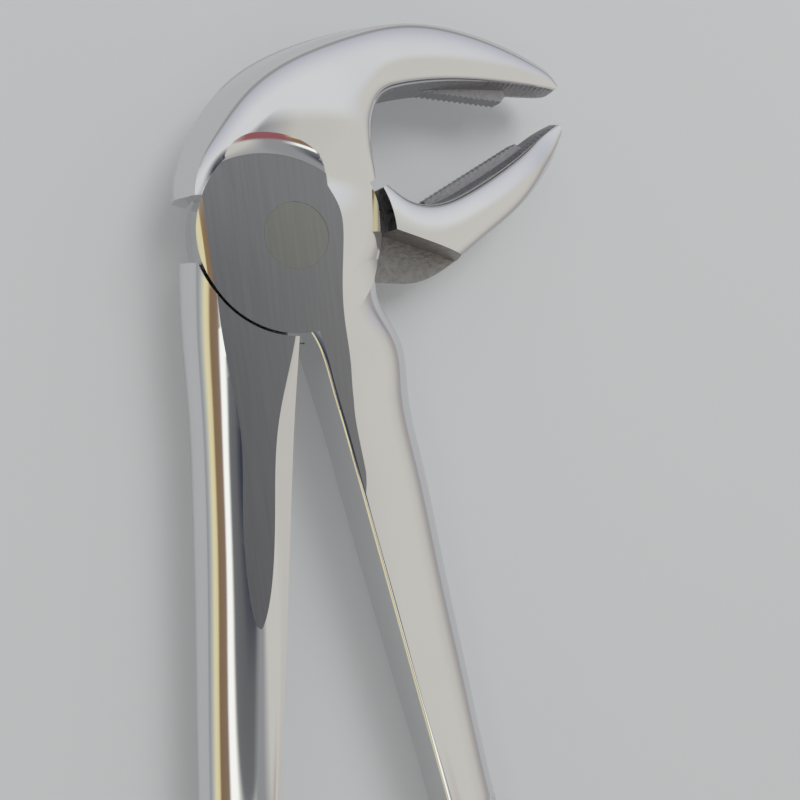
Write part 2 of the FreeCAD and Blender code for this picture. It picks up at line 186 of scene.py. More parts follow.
# ------------------------------------------------------------------ finishes
@dataclass(frozen=True)
class Finish:
    """Surface of one zone of steel.

    Args:
        name: material name.
        low: darker end of the colour.
        high: lighter end of the colour.
        grain: noise grains per metre along X, Y and Z.
        rough: lowest and highest roughness.
        bump: bump height in metres.
        bump_grain: noise grains per metre of the bump.
    """

    name: str
    low: tuple[float, float, float]
    high: tuple[float, float, float]
    grain: tuple[float, float, float]
    rough: tuple[float, float]
    bump: float
    bump_grain: tuple[float, float, float]

    def material(self) -> bpy.types.Material:
        """Build the material."""
        made = bpy.data.materials.new(self.name)
        made.use_nodes = True
        shader = Shader(made.node_tree)
        grain = shader.noise(self.grain)
        relief = shader.noise(self.bump_grain, 2.0)
        normal = shader.node("ShaderNodeBump", {}, {"Strength": 1.0, "Distance": self.bump, "Height": relief})
        steel = shader.node("ShaderNodeBsdfPrincipled", {}, {
            "Base Color": shader.blend(grain, self.low, self.high),
            "Metallic": 1.0,
            "Roughness": grain * (self.rough[1] - self.rough[0]) + self.rough[0],
            "Normal": normal,
        })
        shader.node("ShaderNodeOutputMaterial", {}, {"Surface": steel})
        return made


POLISHED = Finish("polished_steel", (0.76, 0.76, 0.77), (0.81, 0.81, 0.815), (90, 60, 90), (0.05, 0.10),
                  0.000003, (260, 160, 260))
GROUND = Finish("ground_flat_steel", (0.27, 0.275, 0.29), (0.34, 0.345, 0.36), (2600, 90, 2600), (0.27, 0.36),
                0.0000018, (5200, 160, 5200))
SERRATED = Finish("serrated_steel", (0.26, 0.26, 0.28), (0.56, 0.56, 0.58), (2400, 2400, 2400), (0.38, 0.60),
                  0.00006, (3800, 3800, 3800))
ROUGH = Finish("rough_milled_steel", (0.22, 0.215, 0.21), (0.55, 0.54, 0.53), (1500, 1500, 1500),
               (0.42, 0.62), 0.0001, (2400, 2400, 2400))
RIVET = Finish("rivet_end_steel", (0.275, 0.28, 0.265), (0.345, 0.35, 0.33), (2200, 90, 2200), (0.26, 0.34),
               0.0000018, (4800, 160, 4800))
FINISHES = (POLISHED, GROUND, SERRATED, ROUGH)


class Zone(Enum):
    """Finished zones of a forging, by material slot."""

    POLISHED = 0
    GROUND = 1
    SERRATED = 2
    ROUGH = 3


# ------------------------------------------------------------------ mesh helpers
def solid(name: str, bm: bmesh.types.BMesh, zone: Zone = Zone.POLISHED) -> bpy.types.Object:
    """Turn a bmesh in millimetres into an object in metres with outward faces.

    Args:
        name: object name.
        bm: the mesh, freed afterwards.
        zone: finish of every face whose own index is still 0.

    Returns:
        The new object, with the forging's four finishes.
    """
    bmesh.ops.remove_doubles(bm, verts=bm.verts, dist=1e-5)
    bmesh.ops.recalc_face_normals(bm, faces=bm.faces)
    bmesh.ops.scale(bm, vec=(MM, MM, MM), verts=bm.verts)
    for face in bm.faces:
        face.material_index = face.material_index or zone.value
    mesh = bpy.data.meshes.new(name)
    for finish in FINISHES:
        mesh.materials.append(bpy.data.materials.get(finish.name) or finish.material())
    bm.to_mesh(mesh)
    bm.free()
    made = bpy.data.objects.new(name, mesh)
    bpy.context.scene.collection.objects.link(made)
    return made


def raised(bm: bmesh.types.BMesh, outline: Sequence[Sequence[float]], rise: Sequence[float]) -> None:
    """Add a solid grown from one flat outline along a vector."""
    face = bm.faces.new([bm.verts.new(point) for point in outline])
    grown = bmesh.ops.extrude_face_region(bm, geom=[face])["geom"]
    bmesh.ops.translate(bm, vec=rise, verts=[v for v in grown if isinstance(v, bmesh.types.BMVert)])


def prism(name: str, outline: Sequence[tuple[float, float]], bottom: float, top: float,
          zone: Zone = Zone.POLISHED) -> bpy.types.Object:
    """Straight solid over a plan outline."""
    bm = bmesh.new()
    raised(bm, [(x, y, bottom) for x, y in outline], (0, 0, top - bottom))
    return solid(name, bm, zone)


def turned(name: str, profile: Sequence[tuple[float, float]], centre: tuple[float, float] = (0.0, 0.0),
           flats: Zone = Zone.POLISHED, steps: int = 192) -> bpy.types.Object:
    """Solid turned about a vertical axis.

    Args:
        name: object name.
        profile: (radius, height) points that start and end on the axis.
        centre: plan point of the axis.
        flats: finish of the level faces.
        steps: facets round the axis.

    Returns:
        The new object.
    """
    bm = bmesh.new()
    verts = [bm.verts.new((centre[0] + r, centre[1], z)) for r, z in profile]
    edges = [bm.edges.new(pair) for pair in zip(verts, verts[1:])]
    bmesh.ops.spin(bm, geom=verts + edges, cent=(*centre, 0), axis=(0, 0, 1), angle=math.tau, steps=steps,
                   use_merge=True)
    bm.normal_update()
    for face in bm.faces:
        if abs(face.normal.z) > 0.999:
            face.material_index = flats.value
    return solid(name, bm)


def drum(name: str, radius: float, bottom: float, top: float,
         flats: Zone = Zone.POLISHED) -> bpy.types.Object:
    """Plain cylinder about the pivot axis."""
    return turned(name, [(0, bottom), (radius, bottom), (radius, top), (0, top)], flats=flats)


def tube(name: str, rows: np.ndarray, matte: Sequence[int] = (), matte_rows: int = 0) -> bpy.types.Object:
    """Closed tube through rows of points, grown by extruding one ring from row to row.

    Args:
        name: object name.
        rows: the rings, one row of points each.
        matte: first and last place round the ring of the serrated finish.
        matte_rows: how many rows from the start have it.

    Returns:
        The new object.
    """
    bm = bmesh.new()
    ring = [bm.verts.new(point) for point in rows[0]]
    edges = [bm.edges.new((ring[i - 1], ring[i])) for i in range(len(ring))]
    count = len(ring)
    for number, row in enumerate(rows[1:], start=1):
        grown = bmesh.ops.extrude_edge_only(bm, edges=edges)["geom"]
        fresh = {v.co.to_tuple(7): v for v in grown if isinstance(v, bmesh.types.BMVert)}
        ring = [fresh[v.co.to_tuple(7)] for v in ring]
        edges = [e for e in grown if isinstance(e, bmesh.types.BMEdge) and e.is_boundary]
        for vert, point in zip(ring, row):
            vert.co = point
        if number <= matte_rows:
            for place in range(matte[0], matte[1]):
                edge = bm.edges.get((ring[place % count], ring[(place + 1) % count]))
                for face in edge.link_faces:
                    face.material_index = Zone.SERRATED.value
    bmesh.ops.holes_fill(bm, edges=[e for e in bm.edges if e.is_boundary], sides=0)
    return solid(name, bm)


def combine(base: bpy.types.Object, kind: str, tools: Sequence[bpy.types.Object]) -> bpy.types.Object:
    """Apply booleans to a piece and remove the tools; a cut face keeps the tool's finish.

    Args:
        base: the piece.
        kind: DIFFERENCE, UNION or INTERSECT.
        tools: the solids to use in turn.

    Returns:
        The same piece with a new mesh.
    """
    for tool in tools:
        step = base.modifiers.new("step", "BOOLEAN")
        step.operation = kind
        step.solver = "EXACT"
        step.object = tool
        bpy.context.view_layer.update()
        result = bpy.data.meshes.new_from_object(base.evaluated_get(bpy.context.evaluated_depsgraph_get()))
        base.modifiers.remove(step)
        base.data = result
        bpy.data.objects.remove(tool)
    return base


def cubic(rows: np.ndarray, places: np.ndarray, wanted: np.ndarray) -> np.ndarray:
    """Natural cubic curve through rows of values.

    Args:
        rows: values at the known places, one row each.
        places: the known places, rising.
        wanted: places to read.

    Returns:
        One row of values for each wanted place.
    """
    flat = rows.reshape(len(rows), -1)
    gap = np.diff(places)
    slope = np.diff(flat, axis=0) / gap[:, None]
    system = np.eye(len(rows))
    right = np.zeros_like(flat)
    for i in range(1, len(rows) - 1):
        system[i, i - 1:i + 2] = gap[i - 1], 2 * (gap[i - 1] + gap[i]), gap[i]
        right[i] = 6 * (slope[i] - slope[i - 1])
    bend = np.linalg.solve(system, right)
    i = np.clip(np.searchsorted(places, wanted) - 1, 0, len(gap) - 1)
    after = (wanted - places[i])[:, None]
    before = (places[i + 1] - wanted)[:, None]
    width = gap[i][:, None]
    value = (bend[i] * before ** 3 + bend[i + 1] * after ** 3) / (6 * width)
    value += (flat[i] / width - bend[i] * width / 6) * before
    value += (flat[i + 1] / width - bend[i + 1] * width / 6) * after
    return value.reshape(-1, *rows.shape[1:])


def line(start: Sequence[float], end: Sequence[float], count: int) -> list[np.ndarray]:
    """Evenly spaced points, without the last."""
    first, last = np.array(start), np.array(end)
    return [first + (last - first) * i / count for i in range(count)]


def quarter(start: Sequence[float], corner: Sequence[float], end: Sequence[float], count: int,
            pull: float = ROUND) -> list[np.ndarray]:
    """Points of a quarter turn from start to end about a corner, without the last; more pull is squarer."""
    first, mid, last = np.array(start), np.array(corner), np.array(end)
    leave, arrive = first + (mid - first) * pull, last + (mid - last) * pull
    return [(1 - t) ** 3 * first + 3 * t * (1 - t) ** 2 * leave + 3 * t * t * (1 - t) * arrive + t ** 3 * last
            for t in (i / count for i in range(count))]


@dataclass(frozen=True)
class Section:
    """One cross-section of a forged limb, between two plan points.

    Args:
        left: plan point of the left face.
        right: plan point of the middle of the right face.
        faces: half heights of the upright faces at the left and right.
        point: how far the middle of the right face stands out beyond its edges.
        front: crest distance from the left face and crest height, in front.
        back: the same behind.
        front_bevel: width and drop of the strip in front of the left face.
        back_bevel: the same behind.
        square: how squarely the crowns turn down.
    """

    left: tuple[float, float]
    right: tuple[float, float]
    faces: tuple[float, float]
    point: float
    front: tuple[float, float]
    back: tuple[float, float]
    front_bevel: tuple[float, float] = FINE_BEVEL
    back_bevel: tuple[float, float] = FINE_BEVEL
    square: float = ROUND

    FACE = (56, 72)
    OUTSIDE = 64

    def ring(self, middle: float) -> np.ndarray:
        """Closed row of points about the limb at this section."""
        across = np.subtract(self.right, self.left)
        width = float(np.hypot(*across))
        (crest_f, top), (crest_b, low) = self.front, self.back
        (wide_f, drop_f), (wide_b, drop_b) = self.front_bevel, self.back_bevel
        tall, lip = self.faces
        edge = width - self.point
        corner_f = (wide_f + (crest_f - wide_f) * tall / top / 2, top)
        corner_b = (wide_b + (crest_b - wide_b) * tall / low / 2, -low)
        points = line((0, drop_b - tall), (0, tall - drop_f), 8) + line((0, tall - drop_f), (wide_f, tall), 2)
        points += quarter((wide_f, tall), corner_f, (crest_f, top), 20, self.square)
        points += quarter((crest_f, top), (edge, top), (edge, lip), 26, self.square)
        points += line((edge, lip), (width, 0), 8) + line((width, 0), (edge, -lip), 8)
        points += quarter((edge, -lip), (edge, -low), (crest_b, -low), 26, self.square)
        points += quarter((crest_b, -low), corner_b, (wide_b, -tall), 20, self.square)
        points += line((wide_b, -tall), (0, drop_b - tall), 2)
        along = across / width
        return np.array([(self.left[0] + along[0] * u, self.left[1] + along[1] * u, middle + w)
                         for u, w in points])


def limb_rows(sections: Sequence[Section], middle: float, spacing: float, fine: float = 0.0,
              fine_length: float = 0.0) -> np.ndarray:
    """Rows of points along a limb.

    Args:
        sections: the limb's cross-sections in order.
        middle: height of the limb's middle plane.
        spacing: distance between rows.
        fine: closer distance between the first rows.
        fine_length: length of the stretch with closer rows.

    Returns:
        One ring of points in each row.
    """
    rings = np.array([section.ring(middle) for section in sections])
    steps = np.linalg.norm(np.diff(rings, axis=0), axis=2).mean(axis=1)
    places = np.concatenate(([0.0], np.cumsum(steps)))
    near = np.arange(0.0, fine_length, fine) if fine else np.array([])
    far = np.linspace(fine_length, places[-1], int((places[-1] - fine_length) / spacing))
    return cubic(rings, places, np.concatenate((near, far)))


def outward(rows: np.ndarray) -> np.ndarray:
    """Unit normals of rows of rings, pointing away from each ring's centre."""
    normal = np.cross(np.gradient(rows, axis=0), np.roll(rows, -1, axis=1) - np.roll(rows, 1, axis=1))
    normal /= np.linalg.norm(normal, axis=2, keepdims=True) + 1e-12
    return normal * np.sign((normal * (rows - rows.mean(axis=1, keepdims=True))).sum(axis=2, keepdims=True))


# ------------------------------------------------------------------ the instrument
@dataclass
class Joint:
    """Sizes that both halves share, and the cutters made from them."""

    thickness: float
    lap_clearance: float = 0.06
    plate_radius: float = 10.5
    recess_clearance: float = 0.3
    shank: float = 3.0
    head: float = 3.6
    head_depth: float = 1.2
    mill_radius: float = 11.7
    mill_corner: float = 3.0
    mill_side: float = 2.7
    mill_drop: float = 3.3
    notch: float = 4.7
    boss: float = 11.1
    shoulder: float = 12.0
    upper_end: float = 30.0
    lower_end: float = 24.0
    seat_clearance: float = 0.01
    running_clearance: float = 0.05
    form_reach: float = 15.0
    bench_half_width: float = 30.0
    bench_end: float = -170.0
    sector_reach: float = 1.7

    @property
    def middle(self) -> float:
        """Height of the lap plane."""
        return self.thickness / 2

    @property
    def recess(self) -> float:
        """Radius of the wall outside the other half's plate."""
        return self.plate_radius + self.recess_clearance

    def form(self) -> bpy.types.Object:
        """Rounded outside form of the lap plates, straight along Y."""
        left, crest_left, crest_right, right = -12.4, -4.0, -0.8, 12.2
        tall, shallow = self.middle + 1.6, self.middle + 0.4
        outline = quarter((left, 0), (left, tall), (crest_left, tall), 24)
        outline += line((crest_left, tall), (crest_right, shallow), 2)
        outline += quarter((crest_right, shallow), (right, shallow), (right, 0), 36)
        outline += quarter((right, 0), (right, -tall), (-crest_left, -tall), 24)
        outline += line((-crest_left, -tall), (-crest_right, -shallow), 2)
        outline += quarter((-crest_right, -shallow), (left, -shallow), (left, 0), 36)
        bm = bmesh.new()
        raised(bm, [(x, -self.form_reach, self.middle + z) for x, z in outline], (0, 2 * self.form_reach, 0))
        return solid("joint_form", bm)

    def mills(self) -> list[bpy.types.Object]:
        """Cutters of the front and back joint flats, each a round hollow-cornered end and a bench."""
        corner, radius, side, drop = self.mill_corner, self.mill_radius, self.mill_side, self.mill_drop
        wide, end = self.bench_half_width, self.bench_end
        curve = [(radius + corner * math.sin(a), corner - corner * math.cos(a))
                 for a in np.linspace(0, math.pi / 2, 25)]
        made = []
        for way, level in ((1, self.thickness), (-1, 0.0)):
            profile = [(0, level)] + [(r, level + way * z) for r, z in curve]
            profile += [(radius + corner, way * FAR), (0, way * FAR)]
            made.append(turned("mill_end", profile, (-side * way, -drop), Zone.GROUND))
            bench = [(-wide, end), (wide, end), (wide, -drop), (-wide, -drop)]
            made.append(prism("mill_bench", bench, min(level, way * FAR), max(level, way * FAR), Zone.GROUND))
        return made

    def rivet_hole(self, clearance: float) -> bpy.types.Object:
        """Hole with a countersink at each end."""
        top = self.thickness
        shank, head = self.shank + clearance, self.head + clearance
        profile = [(0, -1), (head, -1), (head, 0), (shank, self.head_depth), (shank, top - self.head_depth)]
        return turned("rivet_hole", profile + [(head, top), (head, top + 1), (0, top + 1)])

    def sector(self, start: float, stop: float, inside: float) -> bpy.types.Object:
        """Ring sector about the pivot."""
        spots = [(inside, angle) for angle in np.linspace(start, stop, 49)]
        outside = self.plate_radius * self.sector_reach
        spots += [(outside, angle) for angle in (stop, (start + stop) / 2, start)]
        outline = [(r * math.cos(math.radians(a)), r * math.sin(math.radians(a))) for r, a in spots]
        return prism("sector", outline, -FAR, FAR)


@dataclass
class Handle:
    """One bowed handle, crowned over its middle on one side and over its inner edge on the other."""

    joint: Joint
    side: int
    spread: float = 19.0
    length: float = 150.0
    inner: float = -0.8
    neck: float = 12.4
    shank: float = 10.2
    waist: float = 8.1
    waist_at: float = 76.0
    waist_thickness: float = 8.6
    grip: float = 9.8
    grip_at: float = 116.0
    grip_thickness: float = 9.4
    inset: float = 8.0
    bevel: float = 1.9
    crown_place: float = 0.34
    crown_lip: float = 0.98
    outer_lip: float = 0.15
    knurl_pitch: float = 1.5
    knurl_height: float = 0.24
    knurl_half_girth: float = 7.2
    knurl_end: float = 10.0

    def place(self, out: float, down: float) -> tuple[float, float]:
        """Plan point from a distance out from the handle's axis and down from the pivot."""
        lean = math.radians(self.spread / 2)
        return (self.side * (out * math.cos(lean) + down * math.sin(lean)),
                out * math.sin(lean) - down * math.cos(lean))

    def stations(self) -> list[tuple[float, ...]]:
        """Down, inset, width, middle crown, edge crown, edge crown's place and bevel of each section."""
        half, waist_half, grip_half = self.joint.middle, self.waist_thickness / 2, self.grip_thickness / 2
        shank, waist, grip, inset, end = self.shank, self.waist, self.grip, self.inset, self.length
        bevel, swell, place = self.bevel, (waist_half + grip_half) / 2, self.crown_place
        upper = (shank + waist * 2) / 3
        belly = (self.waist_at + self.grip_at) / 2
        return [
            (20.0, 0.0, shank + 0.7, half + 0.38, half + 0.03, 0.7, bevel),
            (30.0, 0.0, shank, half + 0.28, half, 0.4, bevel),
            (44.0, 0.0, (shank * 2 + waist) / 3, half - 0.02, half - 0.2, 0.4, bevel * 0.6),
            (self.waist_at - 16, 0.0, upper, (half + waist_half) / 2, half - 0.5, 0.4, bevel / 3),
            (self.waist_at, 0.0, waist, waist_half, waist_half, 0.6, bevel / 3),
            (belly, inset * 0.12, (waist + grip) / 2, swell, swell, 0.8, bevel / 3),
            (self.grip_at, inset * 0.42, grip, grip_half, grip_half, grip * place, bevel / 3),
            (end - 13, inset * 0.82, grip * 0.95, grip_half * 0.97, grip_half * 0.97, grip * place,
             bevel / 3),
            (end - 4, inset * 0.84, grip * 0.82, grip_half * 0.84, grip_half * 0.84, grip * 0.3, bevel / 4),
            (end - 1, inset * 0.73, grip * 0.55, grip_half * 0.56, grip_half * 0.56, grip * 0.2, bevel / 8),
            (end, inset * 0.57, grip * 0.25, grip_half * 0.26, grip_half * 0.26, grip * 0.1, bevel / 16),
        ]

    def sections(self, top: Sequence[tuple[float, ...]] = ()) -> list[Section]:
        """The handle's cross-sections, after any further stations at its top."""
        made = []
        for down, bend, width, full, edge, edge_at, bevel in [*top, *self.stations()]:
            crowns = ((edge_at, edge), (width * self.crown_place, full))
            bevels = (FINE_BEVEL, (bevel, bevel / 2))
            if self.side < 0:
                crowns, bevels = crowns[::-1], bevels[::-1]
            near = self.inner - bend
            made.append(Section(self.place(near, down), self.place(near + width, down),
                                (min(full, edge) * self.crown_lip, self.outer_lip), 0.0, *crowns, *bevels))
        return made

    def knurl(self, rows: np.ndarray) -> np.ndarray:
        """Raise a cross-cut pattern on the outer side of the grip."""
        lean = math.radians(self.spread / 2)
        centre = rows.mean(axis=1)
        down = (self.side * centre[:, 0] * math.sin(lean) - centre[:, 1] * math.cos(lean))[:, None]
        girth = np.cumsum(np.linalg.norm(np.gradient(rows, axis=1), axis=2), axis=1)
        girth -= girth[:, Section.OUTSIDE:Section.OUTSIDE + 1]
        fade = np.clip((down - self.waist_at - 1) / 2, 0, 1)
        fade = fade * np.clip((self.length - self.knurl_end - down) / 2, 0, 1)
        fade = fade * np.clip((self.knurl_half_girth - np.abs(girth)) / 0.8, 0, 1)
        one, two = (np.abs(np.mod((down + way * girth) / self.knurl_pitch / math.sqrt(2), 1) - 0.5) * 2
                    for way in (1, -1))
        height = np.clip(np.minimum(one, two) * 1.7, 0, 1) - 0.85
        return rows + outward(rows) * (fade * height * self.knurl_height)[:, :, None]

    def blank(self) -> bpy.types.Object:
        """Make the left handle's blank, from inside the joint to its end."""
        half = self.joint.middle
        top = [(3.8, 0.0, self.neck, half + 1.5, half + 0.15, 1.4, 0.1),
               (11.0, 0.0, self.neck - 0.5, half + 1.0, half + 0.1, 1.4, self.bevel * 0.3)]
        return tube("left_handle", self.knurl(limb_rows(self.sections(top), half, ROW_SPACING)))


def even(front: float, back: float | None = None) -> tuple[tuple[float, float], tuple[float, float]]:
    """Front and back crests over a section's middle, equally high unless the back one is given."""
    return (0.5, front), (0.5, front if back is None else back)


@dataclass
class Beak:
    """Sizes that both beaks share, and their serrations."""

    joint: Joint
    reach: float = 39.2
    mouth: float = 14.9
    rise: float = 1.3
    tip: float = 2.0
    ridge_width: float = 2.2
    ridge_depth: float = 2.0
    ridge_slope: float = 0.8
    ridge_set_back: float = 9.0
    tooth_pitch: float = 0.75
    tooth_depth: float = 0.22
    marks_from: float = 26.5
    marks_spread: float = 3.2
    rim: float = 0.3
    square: float = 0.68
    boss_square: float = 0.3

    @staticmethod
    def sections(stations: Sequence[tuple], rims: Sequence[tuple[float, float]],
                 square: float) -> list[Section]:
        """Sections from outer point, inner point, half lip, middle point, front and back rows.

        Args:
            stations: the rows.
            rims: half height of the outer face and width of the band beside it, for each row.
            square: how squarely the crowns turn down.

        Returns:
            The cross-sections.
        """
        made = []
        for (rim, band), (outer, inner, lip, point, front, back) in zip(rims, stations):
            width = math.dist(outer, inner)
            top, low = front[1], back[1]
            tall = max(rim, min(top, low) * 0.8) if band else rim
            bevel = (band, tall - rim) if band else FINE_BEVEL
            made.append(Section(outer, inner, (tall, lip), point, (width * front[0], top),
                                (width * back[0], low), bevel, bevel, square))
        return made

    def marks(self, rows: np.ndarray) -> np.ndarray:
        """Cut small teeth across both lips of the inner face, towards the tip."""
        first, last = Section.FACE
        middle = rows[:, (first + last) // 2]
        along = np.cumsum(np.linalg.norm(np.gradient(middle, axis=0), axis=1))[:, None]
        saw = 1 - np.abs(np.mod(along / self.tooth_pitch, 1) - 0.5) * 2
        reach = np.clip((rows[:, first:first + 1, 0] - self.marks_from) / 1.5, 0, 1)
        place = np.arange(rows.shape[1])[None, :]
        lips = np.maximum(*(np.clip(1 - np.abs(place - edge) / self.marks_spread, 0, 1)
                            for edge in (first, last)))
        return rows - outward(rows) * (saw * reach * lips * self.tooth_depth)[:, :, None]

    def ridge(self, root: tuple[float, float], end: tuple[float, float],
              away: tuple[float, float]) -> bpy.types.Object:
        """Toothed ridge along an inner face.

        Args:
            root: start of the tooth tips' line.
            end: end of the tooth tips' line.
            away: unit vector out of the face.

        Returns:
            The ridge.
        """
        start, stop, out = np.array(root), np.array(end), np.array(away)
        length = float(np.linalg.norm(stop - start))
        along = (stop - start) / length
        teeth = int(length // self.tooth_pitch)
        pitch = length / teeth
        points = [stop - out * self.ridge_depth, start - out * self.ridge_depth]
        for tooth in range(teeth):
            foot = start + along * (tooth * pitch)
            points += [foot, foot + along * (pitch / 2) - out * self.tooth_depth]
        points += [stop, stop + along * self.ridge_slope - out * self.ridge_depth / 2]
        half = self.ridge_width / 2
        return prism("ridge", [tuple(p) for p in points], self.joint.middle - half, self.joint.middle + half,
                     Zone.SERRATED)


@dataclass
class UpperBeak(Beak):
    """Beak of the front half, running on into the joint's right side and the right handle."""

    lip_rise: float = 1.9
    bands: tuple[float, ...] = (0.25, 0.4, 0.6, 0.75, 0.85, 1.0, 1.25, 1.6, 1.9, 2.0)
    side_rims: tuple[tuple[float, float], ...] = ((0.5, 1.9), (1.2, 1.7), (2.6, 1.5), (3.6, 1.1))
    smooth_passes: int = 40
    smooth_share: float = 0.25
    matte_from: float = 14.0

    @property
    def lip(self) -> float:
        """Plan height of the beak's inner face."""
        return self.mouth + self.lip_rise

    def stations(self) -> tuple[list, list, list]:
        """Rows of the beak, of the joint's right side and of the crotch."""
        half, rise, tip, reach, lip = self.joint.middle, self.rise, self.tip, self.reach, self.lip
        boss = self.joint.boss
        beak = [
            ((reach - 0.1, lip + 1.2), (reach - 1.1, lip + 0.1), tip * 0.8, 0.35, *even(tip)),
            ((reach - 1.0, lip + 2.3), (reach - 2.2, lip), tip * 0.95, 0.5, *even(tip * 1.15)),
            ((reach - 3.3, lip + 3.7), (reach - 4.8, lip), tip * 1.1, 0.6, *even(half * 0.56)),
            ((30.4, lip + 5.6), (28.8, lip), half * 0.52, 0.7, *even(half * 0.72)),
            ((23.4, lip + 7.1), (22.8, lip - 0.1), half * 0.58, 0.7, *even(half * 0.84)),
            ((16.2, lip + 7.4), (17.0, lip - 0.5), half * 0.62, 0.5, *even(half * 0.93)),
            ((9.2, lip + 6.3), (12.8, lip - 1.5), half * 0.68, 0.3, *even(half + rise * 0.1, half * 0.98)),
            ((1.6, lip + 3.9), (11.3, lip - 3.2), half * 0.72, 0.2, (0.48, half + rise * 0.5), (0.5, half)),
            ((-4.6, lip + 0.4), (10.6, lip - 5.2), half * 0.75, 0.1, (0.42, half + rise * 0.75), (0.5, half)),
            ((-9.0, lip - 4.8), (10.4, lip - 7.4), half * 0.78, 0.1, (0.32, half + rise * 0.75), (0.5, half)),
        ]
        side = [
            ((-11.3, lip - 9.6), (10.6, lip - 10.0), half * 0.74, 0.1, (0.3, half + 0.5), (0.5, half)),
            ((-11.9, 5.1), (10.8, 5.0), half * 0.7, 0.1, (0.58, half + 0.3), (0.5, half + 0.1)),
            ((-11.8, 3.0), (boss - 0.2, 3.2), half * 0.65, 0.1, (0.68, half + 0.2), (0.5, half + 0.3)),
            ((-9.0, -1.6), (boss + 0.1, 0.0), half * 0.56, 0.1, (0.65, half + 0.12), (0.5, half + 0.4)),
        ]
        crotch = [
            ((-3.0, -6.4), (boss - 0.6, -3.5), half * 0.44, 0.1, (0.49, half + 0.12), (0.45, half + 0.6)),
            ((-0.6, -8.9), (boss - 1.4, -6.5), half * 0.32, 0.1, (0.4, half + 0.12), (0.4, half + 0.8)),
        ]
        return beak, side, crotch

    def blank(self, grip: Handle) -> bpy.types.Object:
        """Make the front half's forging in one tube from the beak tip to the handle's end."""
        half = self.joint.middle
        beak, side, crotch = self.stations()
        sections = self.sections(beak, [(self.rim, band) for band in self.bands], self.square)
        sections += self.sections(side, self.side_rims, self.boss_square)
        sections += self.sections(crotch, ((half * 0.92, 0), (half * grip.crown_lip, 0)), self.boss_square)
        crest = grip.neck * grip.crown_place
        sections.append(Section(grip.place(grip.inner, 12.2), grip.place(grip.neck - 2.5, 12.2),
                                (half * 0.98, half * 0.2), 0.1, (1.3, half + 0.12), (crest, half + 0.9),
                                FINE_BEVEL, (0.5, 0.25), 0.5))
        sections.append(Section(grip.place(grip.inner, 15.2), grip.place(grip.neck - 1.6, 15.2),
                                (half * 0.98, half * 0.1), 0.05, (0.8, half + 0.08), (crest, half + 0.8),
                                FINE_BEVEL, (1.0, 0.5)))
        rows = limb_rows(sections + grip.sections(), half, ROW_SPACING, FINE_SPACING, FINE_LENGTH)
        centre = rows.mean(axis=1)
        flow = np.clip((13.0 - centre[:, 0]) / 4, 0, 1) * np.clip((centre[:, 1] + 20.0) / 6, 0, 1)
        for _ in range(self.smooth_passes):
            bend = rows[2:] - 2 * rows[1:-1] + rows[:-2]
            rows[1:-1] += flow[1:-1, None, None] * self.smooth_share * bend
        matte = int((rows[:, Section.OUTSIDE, 0] > self.matte_from).argmin())
        return tube("upper_beak_half_dressed", grip.knurl(self.marks(rows)), Section.FACE, matte)

    def pad(self) -> bpy.types.Object:
        """Make the serrated ridge."""
        end = (self.reach - self.ridge_set_back, self.lip - 1.2)
        return self.ridge((17.0, self.lip - 0.1), end, (0.0, -1.0))


@dataclass
class LowerBeak(Beak):
    """Beak of the back half, leaving the joint to the right."""

    bands: tuple[float, ...] = (0.2, 0.35, 0.5, 0.7, 0.9, 1.0, 1.0, 1.0, 1.0)
    matte_from: float = 16.0
    spacing: float = 0.4

    def blank(self) -> bpy.types.Object:
        """Make the beak's blank from the tip to inside the joint."""
        half, rise, tip, reach = self.joint.middle, self.rise, self.tip, self.reach
        stations = [
            ((reach, 11.5), (reach - 0.8, 13.2), tip * 0.8, 0.35, *even(tip)),
            ((37.7, 8.8), (35.8, 12.1), tip * 0.95, 0.6, *even(tip * 1.15)),
            ((34.7, 5.3), (32.0, 10.0), half * 0.44, 0.8, *even(half * 0.66)),
            ((30.8, 1.8), (27.5, 7.5), half * 0.5, 0.8, *even(half * 0.82)),
            ((25.8, -1.5), (22.5, 5.0), half * 0.58, 0.7, *even(half * 0.93)),
            ((20.4, -4.6), (17.6, 3.2), half * 0.68, 0.3, *even(half * 0.98, half + rise * 0.3)),
            ((15.8, -6.0), (14.0, 3.7), half * 0.78, 0.1, *even(half, half + rise * 0.8)),
            ((11.0, -5.6), (11.2, 5.6), half * 0.84, 0.1, *even(half * 0.98, half + rise)),
            ((5.0, -6.2), (5.6, 7.6), half * 0.86, 0.1, *even(half * 0.9, half + rise * 0.7)),
        ]
        sections = self.sections(stations, [(self.rim, band) for band in self.bands], self.square)
        rows = limb_rows(sections, half, self.spacing, FINE_SPACING, FINE_LENGTH)
        matte = int((rows[:, Section.OUTSIDE, 0] > self.matte_from).argmin())
        return tube("lower_beak_half_dressed", self.marks(rows), Section.FACE, matte)

    def pad(self) -> bpy.types.Object:
        """Make the serrated ridge."""
        return self.ridge((17.8, 3.7), (self.reach - self.ridge_set_back + 1.6, 10.5), (-0.45, 0.89))


def finish_piece(piece: bpy.types.Object, crease: float = 24.0) -> bpy.types.Object:
    """Shade a piece smooth up to its edges and up to where its finish changes."""
    for face in piece.data.polygons:
        face.use_smooth = True
    piece.data.set_sharp_from_angle(angle=math.radians(crease))
    bm = bmesh.new()
    bm.from_mesh(piece.data)
    for edge in bm.edges:
        if len({face.material_index for face in edge.link_faces}) > 1:
            edge.smooth = False
    bm.to_mesh(piece.data)
    bm.free()
    return piece


